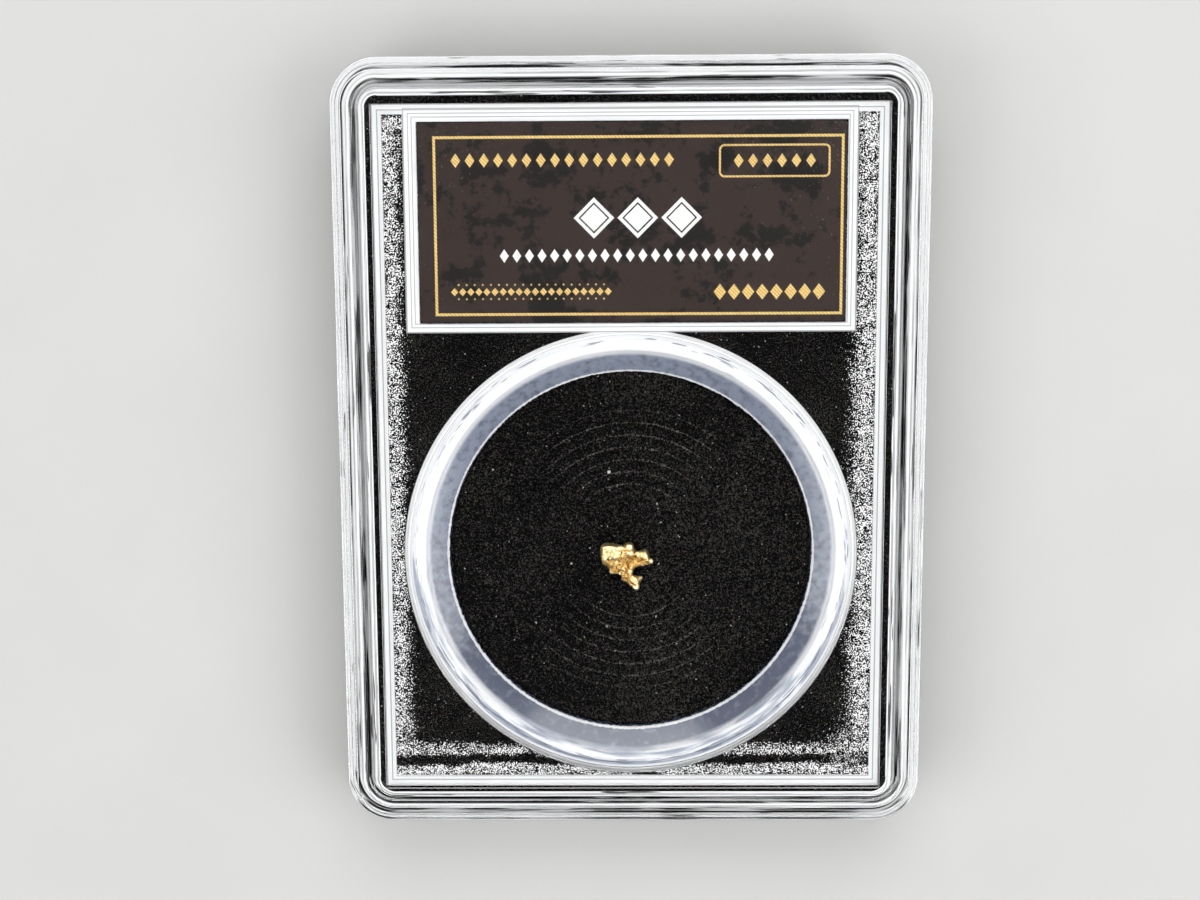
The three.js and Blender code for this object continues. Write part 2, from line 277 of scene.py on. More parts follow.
view = {
    "place": (-0.55, 26.1, 185.8),  # mm
    "tilt": 8.33, "yaw": 0.9, "roll": 0.21,  # degrees
    "lens": 50.3, "sensor": 36,  # mm
    "nearest": 0.01, "farthest": 10,  # m
}


def addCamera():
    camera = bpy.data.cameras.new("camera")
    camera.lens, camera.sensor_width = view["lens"], view["sensor"]
    camera.clip_start, camera.clip_end = view["nearest"], view["farthest"]
    holder = bpy.data.objects.new("camera", camera)
    turn = (Matrix.Rotation(math.radians(-view["tilt"]), 4, "X")
            @ Matrix.Rotation(math.radians(view["yaw"]), 4, "Y")
            @ Matrix.Rotation(math.radians(-view["roll"]), 4, "Z"))
    holder.matrix_world = Matrix.Translation(Vector(view["place"]) * mm) @ turn
    bpy.context.scene.collection.objects.link(holder)
    bpy.context.scene.camera = holder


addCamera()
print("camera set")


# the clear slab

slab = {
    "width": 63, "height": 83, "cornerRadius": 5, "parting": 4.4, "seam": 0.04,
    "rimSide": 3.6, "rimTop": 4.0, "rimBottom": 3.2,
    "outerSteps": ((0.0, 7.7), (0.17, 8.4), (0.33, 9.0)),  # share of the rim, height
    "innerSteps": ((0.66, 8.75), (0.84, 8.5), (1.0, 8.3)),
    "backSteps": ((0.0, 0.9), (0.2, 0.4), (0.36, 0.0)),
    "backPanel": (0.72, 0.6),
    "cavity": 0.84, "floor": 2.0, "ceiling": 6.7,
    "groove": (0.38, 0.62, 6.0), "tongue": (0.41, 0.59, 5.9), "tongueRoot": 0.5, "ribRoot": 0.4,
    "stepRound": 0.2, "edge": 0.07, "above": 10.0,
    "crisp": 50,  # degrees: edges that turn by more are shaded crisp
}
well = {"box": (-27.2, 27.1, -37.6, 36.6), "top": 8.05, "wall": 1.0, "ribFoot": 6.14}
pocket = {"box": (-23.95, 23.9, 12.65, 36.2), "opening": (-22.55, 22.85, 13.6, 34.8)}
gasket = {"centre": (-0.15, -11.6), "outer": 24.05, "crest": 22.1, "inner": 19.85, "steps": 240}
seat = {"inner": 24.2, "outer": 24.55}


def grown(box, by):
    left, right, bottom, top = box
    return (left - by, right + by, bottom - by, top + by)


def rimBlock(share, low, high, inset=0.0, soft=0.0):  # the slab's outline moved in by a share of the rim
    side = slab["width"] / 2 - slab["rimSide"] * share - inset
    bottom = -slab["height"] / 2 + slab["rimBottom"] * share + inset
    top = slab["height"] / 2 - slab["rimTop"] * share - inset
    radius = slab["cornerRadius"] - slab["rimSide"] * share - inset
    return block((-side, side, bottom, top), radius, low, high, soft)


def frameOf(outer, inner, low, high):
    hole = block(inner, 0, low - cutPast, high + cutPast)
    return carved(block(outer, 0, low, high), [("DIFFERENCE", hole)])


def rimFrame(outerShare, innerShare, low, high):
    hole = rimBlock(innerShare, low - cutPast, high + cutPast)
    return carved(rimBlock(outerShare, low, high), [("DIFFERENCE", hole)])


def tube(inner, outer, low, high):
    return turned(((inner, low), (outer, low), (outer, high), (inner, high)), gasket["steps"])


def frontShell():
    low, above, soft = slab["parting"] + slab["seam"], slab["above"], slab["stepRound"]
    root = slab["ceiling"] + slab["ribRoot"]
    ribFoot = well["ribFoot"]
    first, *others = slab["outerSteps"]
    cuts = [("UNION", rimBlock(share, low, high, soft=soft)) for share, high in others]
    cuts += [("DIFFERENCE", rimBlock(share, high, above)) for share, high in slab["innerSteps"]]
    outerGroove, innerGroove, grooveTop = slab["groove"]
    openSeat = carved(tube(seat["inner"], seat["outer"], ribFoot, root),
                      [("DIFFERENCE", block(pocket["box"], 0, 0, above))])
    cuts += [
        ("DIFFERENCE", block(well["box"], 0, well["top"], above)),
        ("DIFFERENCE", rimBlock(slab["cavity"], low - cutPast, slab["ceiling"])),
        ("DIFFERENCE", rimFrame(outerGroove, innerGroove, low - cutPast, grooveTop)),
        ("UNION", frameOf(well["box"], grown(well["box"], -well["wall"]), ribFoot, root)),
        ("UNION", frameOf(pocket["box"], pocket["opening"], ribFoot, root)),
        ("UNION", openSeat),
    ]
    bm = carved(rimBlock(first[0], low, first[1], soft=soft), cuts)
    softenEdges(bm, slab["edge"])
    return keepFlats(newObject("front_shell_clear", bm, slab["crisp"]))


def backShell():
    high = slab["parting"]
    first, *others = slab["backSteps"]
    cuts = [("UNION", rimBlock(share, z, high)) for share, z in others]
    panelShare, panelZ = slab["backPanel"]
    outerTongue, innerTongue, tongueTop = slab["tongue"]
    cuts += [
        ("DIFFERENCE", rimBlock(panelShare, -cutPast, panelZ)),
        ("DIFFERENCE", rimBlock(slab["cavity"], slab["floor"], high + cutPast)),
        ("UNION", rimFrame(outerTongue, innerTongue, high - slab["tongueRoot"], tongueTop)),
    ]
    bm = carved(rimBlock(first[0], first[1], high), cuts)
    softenEdges(bm, slab["edge"])
    return keepFlats(newObject("back_shell_clear", bm, slab["crisp"]))


clear = {
    "tint": (0.985, 0.99, 0.995, 1), "roughness": 0.0, "ior": 1.53,
    "pebble": 3.0, "pebbleStrength": 1.0, "pebbleDepth": 0.02,  # cells per mm, mm
    # the white is partly a frosted finish and partly a painted glow; the dark is the colour of the painted
    # dark lines
    "frostGlow": (0.97, 0.975, 0.98, 1), "shade": (0.008, 0.008, 0.009, 1),
    "frostRoughness": 0.4, "frostGloss": 0.05,
    "facing": -0.9, "upTo": 0.05,  # frosted where it looks down, from the parting to just past the ceiling
    "undersides": (6.05, 6.1),  # heights that part the rim's meeting faces from the undersides above
    "fieldFade": 0.08, "edgeFade": 0.06, "crispFade": (-0.04, 0.02),  # mm
    "seatInner": (-0.66, -0.52), "seatWhite": 0.95, "seatFootFade": 0.5, "seatFadeOver": (-33.0, -8.0),
    "sparkleWhite": 0.92, "rimWhite": 0.96,
    # thin darker lines, painted shade where the frost gives way, which stand in for refracted dark
    # surroundings: how far in from the edge of the well or the pocket, and width
    "wallDips": ((0.0, 0.04), (0.54, 0.08)), "pocketDips": ((0.02, 0.07), (0.52, 0.06), (0.9, 0.06)),
    "dipFade": (0.4, 1.1), "dipDepth": 0.5,
}
sparkleBand = {  # white specks of painted sparkle, which stand in for glints of light in the pebbled plastic: mm from the well's wall, where nothing else is said
    "bendWave": 0.3, "sideBend": 1.4, "footBend": 1.3, "wider": 0.35, "widerOver": (-5.0, 5.0),
    "sideFrom": (-0.6, 0.3), "sideTo": (0.7, 3.3),
    "footBands": ((0.8, 0.35, 1.0), (3.3, 0.4, 1.4)),  # middle of each, full to, gone at
    "footTo": (2.6, 5.2),
    "corner": (24.0, -33.2), "cornerReach": (0.4, 4.6), "cornerShare": 0.85,
    "clumps": 1.7, "grain": 7.2,  # per mm
    "leastClump": 0.35, "bare": 0.85, "covered": 0.42, "sparkleEdge": 0.03,  # strengths
}
rimLook = {  # mm in from the slab's side; the rim's white is partly a frosted finish and partly a painted glow of light carried through the clear rim, and its dark lines and streaks are painted shade
    "dips": ((0.88, 0.26), (2.17, 0.34)), "faintDips": ((1.55, 0.14), (2.65, 0.08), (3.32, 0.12)),
    "faintShare": 0.5,
    "footDips": ((0.5, 0.22), (1.3, 0.14), (2.72, 0.22), (3.2, 0.18)), "footFrom": (39.0, 40.0),
    "streakAlong": 0.09, "streakAcross": 2.4, "streakRough": 0.7,
    "broken": (0.40, 0.52), "unbroken": 0.4, "streak": (0.62, 0.65), "streakDepth": 0.9,
    "ledge": (2.9, 3.0), "whiteTo": (3.56, 3.62),
}


def rimDepth(x, y):  # how far in from the slab's outline, with the end rims scaled to the side ones, in mm
    side, end, corner = slab["width"] / 2, slab["height"] / 2, slab["cornerRadius"]
    inward = -roundedBoxDistance(x, y, (-side, side, -end, end), corner)
    across = (abs(x) - (side - corner)).most(0.0)
    up = (y - (end - corner)).most(0.0)
    down = (-y - (end - corner)).most(0.0)
    total = across + up + down + 0.001  # never 0
    topScale = slab["rimSide"] / slab["rimTop"] - 1
    bottomScale = slab["rimSide"] / slab["rimBottom"] - 1
    return inward * (1 + up / total * topScale + down / total * bottomScale)


def linesAt(distance, dips):  # 1 on each thin line that runs at a distance from an edge
    core, gone = clear["dipFade"]
    lines = [abs(distance - at).fade(width * core, width * gone) for at, width in dips]
    return mostOf(lines)


def seeThrough(f, bump=None):  # plain see-through plastic
    inputs = {"Base Color": clear["tint"], "Roughness": clear["roughness"], "IOR": clear["ior"],
              "Transmission Weight": 1.0}
    if bump:
        inputs["Normal"] = bump
    return f.principled(inputs)


def clearPlastic():
    f = Finish(bpy.data.materials.new("clearPlastic"))
    return f.end(seeThrough(f))


def wellSparkle(f, vector, x, y, fromWell):  # bands of white specks, painted sparkle, by the well's wall: one at a side, two at the foot
    g = sparkleBand
    bend = f.noise(vector, g["bendWave"], 1.0) - 0.5
    widening = 1 + g["wider"] * x.ramp(*g["widerOver"])
    aside = (fromWell - well["wall"] + bend * g["sideBend"]) / widening
    foot = y - (well["box"][2] + well["wall"]) + bend * g["footBend"]
    sideBand = aside.ramp(*g["sideFrom"]) * aside.fade(*g["sideTo"])
    footBands = mostOf([abs(foot - middle).fade(full, gone) for middle, full, gone in g["footBands"]])
    nearFoot = foot.fade(*g["footTo"])
    corner = discDistance(x, y, g["corner"]).fade(*g["cornerReach"])  # a cloud of painted sparkle in one corner
    band = (sideBand * (1 - nearFoot) + footBands * nearFoot).most(corner * g["cornerShare"])
    amount = band * (g["leastClump"] + f.noise(vector, g["clumps"], 1.0))
    grain = f.noise(vector, g["grain"], 0.0)
    return (grain - (g["bare"] - g["covered"] * amount)).ramp(0.0, g["sparkleEdge"])


def rimFrostAndGlow(f, x, y, underside):  # how frosted and white the faces that meet the back shell are, partly a frosted finish and partly a painted glow of light carried through the rim, and their painted dark lines
    r = rimLook
    depth = rimDepth(x, y)
    alongRim = f.drawnOut(x, y, depth, r["streakAlong"], r["streakAcross"])
    streaks = f.noise(alongRim, 1.0, 2.0, r["streakRough"])
    broken = streaks.ramp(*r["broken"])
    # painted shade: thin dark lines and streaks that stand in for dark surroundings seen through the rim
    lines = linesAt(depth, r["dips"]).most(linesAt(depth, r["faintDips"]) * r["faintShare"])
    lines = lines.most(linesAt(depth, r["footDips"]) * (-y).ramp(*r["footFrom"]))
    lines = lines * (r["unbroken"] + (1 - r["unbroken"]) * broken)
    lines = lines.most(streaks.ramp(*r["streak"]) * r["streakDepth"])
    ledge = depth.ramp(*r["ledge"]) * underside
    return (1 - underside).most(ledge) * depth.fade(*r["whiteTo"]), lines


def frostedGlowPlastic():  # for the front shell's inner faces: clear, but white on its ribs' feet and its rim, a white that is partly a frosted finish and partly a painted glow of light carried through the plastic
    f = Finish(bpy.data.materials.new("frostedGlowPlastic"))
    vector, x, y, z = f.coordinates()
    fade, wall = clear["edgeFade"], well["wall"]
    underside = z.ramp(*clear["undersides"])
    fromWell = -boxDistance(x, y, well["box"])  # how far in from the well's edge
    fromPocket = -boxDistance(x, y, pocket["box"])
    fromRing = discDistance(x, y, gasket["centre"], seat["outer"])
    field = (fromWell - wall).least(-fromPocket).least(fromRing).ramp(0.0, clear["fieldFade"])

    wallFoot = fromWell.ramp(-fade, 0.0) * fromWell.fade(wall, wall + fade)
    onPocket = fromPocket.ramp(-fade, 0.0)
    inOpening = (-boxDistance(x, y, pocket["opening"])).ramp(*clear["crispFade"])
    pocketFoot = onPocket * (1 - inOpening)
    seatFoot = fromRing.ramp(*clear["seatInner"]) * fromRing.fade(*clear["crispFade"]) * (1 - onPocket)
    # the seat's white is less towards the slab's foot
    seatWhite = clear["seatWhite"] - clear["seatFootFade"] * y.fade(*clear["seatFadeOver"])
    feet = wallFoot.most(pocketFoot).most(seatFoot * seatWhite)
    # painted shade: the frost gives way along thin lines, so that they show darker
    wallLines = linesAt(fromWell, clear["wallDips"]) * wallFoot
    pocketLines = linesAt(fromPocket, clear["pocketDips"]) * pocketFoot
    feet = feet * (1 - wallLines.most(pocketLines) * clear["dipDepth"]) * underside
    # painted sparkle: white specks that stand in for glints of light in the plastic
    sparkles = wellSparkle(f, vector, x, y, fromWell) * field * underside
    rim, rimLines = rimFrostAndGlow(f, x, y, underside)
    # white where frosted: partly a frosted finish and partly a painted glow, with painted sparkle
    white = feet.most(sparkles * clear["sparkleWhite"]).most(rim * clear["rimWhite"])

    pebble = f.bump(f.noise(vector, clear["pebble"], 0.0), clear["pebbleStrength"], clear["pebbleDepth"])
    frostedGlow = f.principled({
        "Base Color": f.blend(rimLines * rim, clear["frostGlow"], clear["shade"]),
        "Roughness": clear["frostRoughness"], "Specular IOR Level": clear["frostGloss"]})
    return f.end(f.node("ShaderNodeMixShader", None, {0: white, 1: seeThrough(f, pebble), 2: frostedGlow}))


front, back = frontShell(), backShell()
plainPlastic = clearPlastic()
place(back, plainPlastic, "back_shell")
place(front, plainPlastic, "front_shell")
front.data.materials.append(frostedGlowPlastic())
for face in front.data.polygons:
    inside = slab["parting"] < face.center.z / mm < slab["ceiling"] + clear["upTo"]
    if inside and face.normal.z < clear["facing"]:
        face.material_index = 1
print("clear slab made")


# the milky gasket ring

ringShape = {
    "base": 2.06, "innerTop": 4.93, "slopeFoot": 5.15, "slopeHead": 6.28, "top": 6.6, "ledge": 6.42,
    "footIn": 0.22, "headIn": 0.2, "ledgeRadius": 23.45, "ledgeLean": 0.06,
    "soft": 0.16, "softSteps": 3, "softAbove": 20, "crisp": 40,  # mm, steps, degrees, degrees
}
ringLook = {
    "white": (0.98, 0.985, 1.0, 1), "milk": (0.42, 0.46, 0.54, 1), "slope": (0.085, 0.10, 0.15, 1),
    "cloudy": (0.25, 0.28, 0.36, 1), "dash": (0.10, 0.12, 0.18, 1), "roughness": 0.22, "ior": 1.41,
    "coat": 0.6, "coatRoughness": 0.08, "grain": 5.0, "grainStrength": 0.5, "grainDepth": 0.015,
    "footShadeOver": (-33.0, -3.0),  # painted shade: the ring is darker towards the slab's foot
    "patches": 1.2, "patchFade": (0.08, 0.62), "patchFootShade": 0.42,
    "streakAlong": 0.16, "streakAcross": 1.9, "streakRough": 0.6, "cloud": 0.12, "cloudShare": 0.3,
    "milkFade": (0.25, 0.49), "milkFootShade": 0.27, "milkThin": 0.15, "thinFrom": (-1.0, -0.6),
    "crestFrom": (-0.5, 0.15), "lipWidth": (0.16, 0.28), "lipHeight": (4.7, 4.85), "lipWhite": 0.95,
    "edgeWhite": (-0.32, -0.22),  # mm from the outer edge, as for where the milk and its painted sheen thin and the dashes end; a painted highlight line runs along the outer edge
    "dashes": 2.3, "dashFade": (0.60, 0.64), "dashFootShade": 0.1, "dashDepth": 0.7,
    "dashFrom": (0.9, 1.1), "dashTo": (-0.45, -0.35),
}


def gasketRing():
    s = ringShape
    profile = (
        (gasket["inner"], s["base"]), (gasket["outer"], s["base"]), (gasket["outer"], s["ledge"]),
        (s["ledgeRadius"], s["ledge"]), (s["ledgeRadius"] - s["ledgeLean"], s["top"]),
        (gasket["crest"] + s["headIn"], s["top"]), (gasket["crest"], s["slopeHead"]),
        (gasket["inner"] + s["footIn"], s["slopeFoot"]), (gasket["inner"], s["innerTop"]),
    )
    bm = turned(profile, gasket["steps"])
    softenEdges(bm, s["soft"], s["softSteps"], s["softAbove"])
    return newObject("gasket_ring_milky", bm, s["crisp"])


def milkySilicone():
    f, look = Finish(bpy.data.materials.new("milkySilicone")), ringLook
    vector, x, y, z = f.coordinates()
    radius = discDistance(x, y, gasket["centre"])
    fromInner, fromCrest, fromOuter = (radius - gasket[edge] for edge in ("inner", "crest", "outer"))
    # painted shade: darker towards the slab's foot, in the patches, the sheen and the dashes
    footShade = y.fade(*look["footShadeOver"])
    aroundRing = f.drawnOut(x, y, radius, look["streakAlong"], look["streakAcross"])
    patches = f.noise(vector, look["patches"], 2.0) - look["patchFootShade"] * footShade
    slope = f.blend(patches.ramp(*look["patchFade"]), look["slope"], look["cloudy"])
    # painted sheen: white streaks round the crest, over the ring's milky tone
    milkAndSheen = f.noise(aroundRing, 1.0, 2.0, look["streakRough"])
    milkAndSheen = milkAndSheen + look["cloudShare"] * f.noise(vector, look["cloud"], 1.0)
    milkAndSheen = milkAndSheen - look["milkThin"] * fromOuter.ramp(*look["thinFrom"])
    milkAndSheen = (milkAndSheen - look["milkFootShade"] * footShade).ramp(*look["milkFade"])
    milk = f.blend(milkAndSheen, look["milk"], look["white"])
    colour = f.blend(fromCrest.ramp(*look["crestFrom"]), slope, milk)
    # painted highlights: a white line on the top of the inner lip and along the outer edge
    lip = fromInner.fade(*look["lipWidth"]) * z.ramp(*look["lipHeight"])
    edges = lip.most(fromOuter.ramp(*look["edgeWhite"])) * look["lipWhite"]
    colour = f.blend(edges, colour, look["white"])
    dashes = f.noise(aroundRing, look["dashes"], 1.0) + look["dashFootShade"] * footShade
    dashes = dashes.ramp(*look["dashFade"]) * fromCrest.ramp(*look["dashFrom"])
    dashes = dashes * fromOuter.fade(*look["dashTo"])
    colour = f.blend(dashes * look["dashDepth"], colour, look["dash"])
    return f.end(f.principled({
        "Base Color": colour, "Roughness": look["roughness"], "IOR": look["ior"],
        "Coat Weight": look["coat"], "Coat Roughness": look["coatRoughness"],
        "Normal": f.bump(f.noise(vector, look["grain"], 1.0), look["grainStrength"], look["grainDepth"])}))


place(gasketRing(), milkySilicone(), "gasket_ring")
print("gasket made")


# the black foam

foam = {
    "matTop": 6.1, "matFloor": 2.04, "matInset": 0.12, "edge": 0.12, "matCrisp": 50,
    "hole": 24.2, "holeCut": (1, 8),  # its radius, and the heights that the cutter reaches
    "discRadius": 19.7, "discFloor": 2.04, "discTop": 4.3, "discEdge": 0.1, "discCrisp": 60,
    "rings": 99, "steps": 300,
    "cells": ((3.1, 0.6), (7.7, 0.4)), "cellDepth": 0.05,  # per mm and share of each, mm
}
foamLook = {
    "dark": (0.0008, 0.0007, 0.0007, 1), "pale": (0.046, 0.042, 0.039, 1), "dust": (0.62, 0.60, 0.57, 1),
    "roughness": 0.85, "gloss": 0.05, "grain": 5.0, "grainStrength": 1.0, "grainDepth": 0.08,
    "cells": 6.2, "cellRough": 0.8, "cloud": 0.12, "cloudShare": 0.16, "lit": (0.57, 0.78),
    "specks": 1.3, "speckSize": (0.05, 0.13), "kept": 1.5, "keptFrom": (0.40, 0.75), "speckWhite": 0.8,
    # faint cut arcs, round the gasket's middle and broken up, with a painted glint where they catch the light
    "arcs": 0.74, "arcWidth": (0.03, 0.08), "arcRadius": 11.0, "arcReach": (3.6, 5.4),
    "arcSpread": 1.1, "arcEnds": (-2.0, 3.0), "arcBroken": (0.42, 0.58), "arcWhite": 0.105,
    "fleck": (-2.47, -2.87), "fleckSize": (0.10, 0.2),
}


def foamMat():
    sheet = rimBlock(slab["cavity"], foam["matFloor"], foam["matTop"], foam["matInset"])
    low, high = foam["holeCut"]
    hole = turned(((0, low), (foam["hole"], low), (foam["hole"], high), (0, high)), gasket["steps"])
    bm = carved(sheet, [("DIFFERENCE", hole)])
    softenEdges(bm, foam["edge"])
    return keepFlats(newObject("foam_mat_black", bm, foam["matCrisp"]))


def foamDisc():
    floor, top, radius, edge = foam["discFloor"], foam["discTop"], foam["discRadius"], foam["discEdge"]
    profile = ((0, floor), (radius, floor), (radius, top - edge), (radius - edge, top), (0, top))
    bm = turned(profile, foam["steps"], closed=False, lastCuts=foam["rings"])
    for v in bm.verts:  # open cells in the cut face
        if v.co.z > top * mm - cutGap:
            dip = 0.5 + sum(noise.noise(v.co / mm * wave) * share for wave, share in foam["cells"])
            v.co.z -= dip * foam["cellDepth"] * mm
    return newObject("foam_disc_black", bm, foam["discCrisp"])


def blackFoam():
    f, look = Finish(bpy.data.materials.new("blackFoam")), foamLook
    vector, x, y, _ = f.coordinates()
    middle = gasket["centre"]
    radius = discDistance(x, y, middle)
    cells = f.noise(vector, look["cells"], 1.0, look["cellRough"])
    lit = (cells + look["cloudShare"] * f.noise(vector, look["cloud"], 1.0)).ramp(*look["lit"])
    colour = f.blend(lit, look["dark"], look["pale"])
    specks = f.specks(vector, look["specks"]).fade(*look["speckSize"])
    specks = specks * f.noise(vector, look["kept"], 0.0).ramp(*look["keptFrom"]) * look["speckWhite"]
    arcs = abs((radius * look["arcs"]).fraction() - 0.5).fade(*look["arcWidth"])
    arcs = arcs * abs(radius - look["arcRadius"]).fade(*look["arcReach"])
    sector = abs(y - middle[1]) - look["arcSpread"] * abs(x - middle[0])  # painted glint: they catch the light only above and below it
    arcs = arcs * sector.ramp(*look["arcEnds"]) * cells.ramp(*look["arcBroken"]) * look["arcWhite"]
    fleck = discDistance(x, y, look["fleck"]).fade(*look["fleckSize"])
    return f.end(f.principled({
        "Base Color": f.blend(specks.most(arcs).most(fleck), colour, look["dust"]),
        "Roughness": look["roughness"], "Specular IOR Level": look["gloss"],
        "Normal": f.bump(f.noise(vector, look["grain"], 0.0), look["grainStrength"], look["grainDepth"])}))


foamFinish = blackFoam()
for foamPiece, node in ((foamMat(), "foam_mat"), (foamDisc(), "foam_disc")):
    place(foamPiece, foamFinish, node)
print("foam made")


# the printed card

card = {
    "low": 6.11, "thickness": 0.31, "inset": 0.12, "corner": 0.3, "cornerSteps": 4, "edge": 0.04, "crisp": 50,
    "ground": (0.008, 0.0055, 0.005, 1), "groundHaze": (0.036, 0.0215, 0.0175, 1),
    "patches": 0.23, "patchDetail": 5.0, "patchRough": 0.68, "patchFade": (0.43, 0.49),
    "gold": (1.0, 0.76, 0.33, 1), "goldDark": (0.72, 0.45, 0.12, 1), "white": (0.95, 0.95, 0.93, 1),
    "rope": 2.6, "foilGrain": 5.0, "foilGrainShare": 0.6, "foilFade": (0.3, 0.7),  # a fine twist in the foil
    "roughness": 0.5, "inkSmoother": 0.15, "inkFrom": (6.3, 6.35), "gloss": 0.3,
    "grain": 9.0, "grainStrength": 0.12, "grainDepth": 0.02,
    "border": (-20.7, 22.3, 14.55, 33.15), "borderLine": 0.3,
    "badge": (9.4, 20.9, 28.95, 32.2), "badgeLine": 0.22, "badgeCorner": 0.5,
    "printFade": (-0.05, 0.03), "lozengeFade": 0.04, "rowFade": 0.01,
    "hollow": 0.62, "hollowLine": (0.08, 0.14),
}
# rows of lozenges that fill the printed lines: left, right, middle height, half height, pitch, slimness
goldRows = ((-19.2, 4.8, 30.75, 0.74, 1.5, 1.45), (10.6, 19.7, 30.58, 0.72, 1.52, 1.4),
            (8.7, 20.7, 16.85, 0.85, 1.5, 1.3))
fineRows = ((-19.2, -2.0, 16.95, 0.42, 0.86, 1.1), (-18.77, -2.43, 17.7, 0.12, 0.86, 1.0),
            (-18.77, -2.43, 16.2, 0.12, 0.86, 1.0))
whiteRow = (-14.1, 15.3, 20.75, 0.72, 1.337, 1.5)
bigRow = (-6.2, 7.7, 24.7, 2.15, 4.633, 1.0)


def labelCard():
    box = grown(pocket["opening"], -card["inset"])
    top = card["low"] + card["thickness"]
    bm = block(box, card["corner"], card["low"], top, cornerSteps=card["cornerSteps"])
    softenEdges(bm, card["edge"])
    return keepFlats(newObject("label_card_printed", bm, card["crisp"]))


def lozengeRow(x, y, row, hollow=0.0):  # 1 on each lozenge of a row, which may have an open line in it
    left, right, middle, half, pitch, slim = row
    fade, rowFade = card["lozengeFade"], card["rowFade"]
    along = ((x - left) / pitch).fraction() - 0.5
    shape = abs(along * pitch) * slim + abs(y - middle) - half
    filled = shape.fade(-fade, fade)
    if hollow:
        filled = filled * abs(shape + hollow).ramp(*card["hollowLine"])
    return filled * (left - x).fade(-rowFade, rowFade) * (x - right).fade(-rowFade, rowFade)


def lineRound(distance, width):
    inner, outer = card["printFade"]
    return abs(distance).fade(width / 2 + inner, width / 2 + outer)


def printedCard():
    f = Finish(bpy.data.materials.new("printedCard"))
    vector, x, y, z = f.coordinates()
    # painted reflection: brownish patches of haze on the card's dark ground
    haze = f.noise(vector, card["patches"], card["patchDetail"], card["patchRough"]).ramp(*card["patchFade"])
    ground = f.blend(haze, card["ground"], card["groundHaze"])
    ink = lineRound(boxDistance(x, y, card["border"]), card["borderLine"])
    ink = ink.most(lineRound(roundedBoxDistance(x, y, card["badge"], card["badgeCorner"]), card["badgeLine"]))
    for row in goldRows + fineRows:
        ink = ink.most(lozengeRow(x, y, row))
    rope = abs(((x + y) * card["rope"]).fraction() - 0.5)
    foilWear = rope + card["foilGrainShare"] * f.noise(vector, card["foilGrain"], 2.0)
    foil = f.blend(foilWear.ramp(*card["foilFade"]), card["gold"], card["goldDark"])
    pale = lozengeRow(x, y, bigRow, card["hollow"]).most(lozengeRow(x, y, whiteRow))
    printed = ink.most(pale) * z.ramp(*card["inkFrom"])
    return f.end(f.principled({
        "Base Color": f.blend(pale, f.blend(ink, ground, foil), card["white"]),
        "Roughness": card["roughness"] - card["inkSmoother"] * printed, "Specular IOR Level": card["gloss"],
        "Normal": f.bump(f.noise(vector, card["grain"], 2.0), card["grainStrength"], card["grainDepth"])}))


place(labelCard(), printedCard(), "label_card")
print("label made")


# the nugget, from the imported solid, with its folds and pits worked in

nugget = {
    "middle": (-0.53, -13.15, 4.3), "crisp": 180,  # mm, degrees
    "evenings": (2, 4, 5), "evening": 0.5, "lastEvening": 0.4,  # rounds at each fineness, and strengths
    "fatten": 0.07, "slowWave": 1.7, "slowDepth": 0.05, "fineWave": 7.0, "fineDepth": 0.01,  # per mm, mm
    "foldWave": 2.6, "foldDepth": 0.062, "foldTop": 0.62, "foldFrom": (5, 2, 9),
    "plateau": (0.25, 0.5, 0.95), "plateauSquash": 1.6, "calmest": 0.25,  # where the folds fade out
    "warp": 0.16, "warpWave": 2.6, "seed": 5,
    "spotReach": 3, "spotSharpness": 1.2, "lipAt": 1.35, "lipWidth": 0.38,
    "topFrom": 0.25, "topSlope": 1.6,  # the named features fade out round the sides
    "rubbedSheenReach": 1.3, "rubbedSheenWave": 2.3, "rubbedSheenPatch": 0.5,
    "leastWearAndSheen": 0.14, "rubbedSheenShare": 0.66, "proud": 0.009, "proudEvenings": 3,
}
# the parts that are rubbed and painted bright, partly wear and partly a painted highlight: place and reach
brightParts = (((-1.45, 1.75), 1.35), ((0.40, 2.10), 0.75), ((1.90, 1.45), 0.85), ((0.95, -1.50), 0.6),
               ((1.02, -2.40), 0.5), ((2.61, 0.57), 0.3), ((0.42, -0.55), 0.3), ((-1.84, -0.78), 0.25))
# round pits and knobs, in mm from the nugget's middle: place, radius, rise, and height of the lip round it
spots = (
    ((-2.08, 0.92), 0.20, -0.26, 0.09), ((-1.45, 1.60), 0.17, -0.08, 0.03),
    ((-2.35, 2.08), 0.15, -0.08, 0.02), ((-0.70, 2.14), 0.13, -0.09, 0.02),
    ((-0.17, 1.57), 0.13, -0.12, 0.07), ((-1.39, -0.02), 0.13, -0.07, 0.07),
    ((-0.65, -0.75), 0.12, -0.06, 0.07), ((0.62, 1.95), 0.12, -0.06, 0.02),
    ((2.05, 0.92), 0.13, -0.07, 0.03), ((0.32, 2.28), 0.32, 0.13, 0.0),
    ((2.0, 1.70), 0.22, 0.07, 0.0), ((1.68, 0.28), 0.17, 0.06, 0.0),
    ((2.61, 0.57), 0.18, 0.10, 0.0), ((-0.28, -1.40), 0.13, 0.08, 0.0),
    ((-0.52, -1.45), 0.11, 0.07, 0.0), ((0.94, -1.45), 0.24, 0.10, 0.0),
    ((-1.84, -0.78), 0.14, 0.06, 0.0), ((1.02, -2.35), 0.20, 0.07, 0.0),
    ((-1.05, 0.75), 0.14, 0.06, 0.0), ((-1.85, 0.20), 0.15, 0.07, 0.0),
)
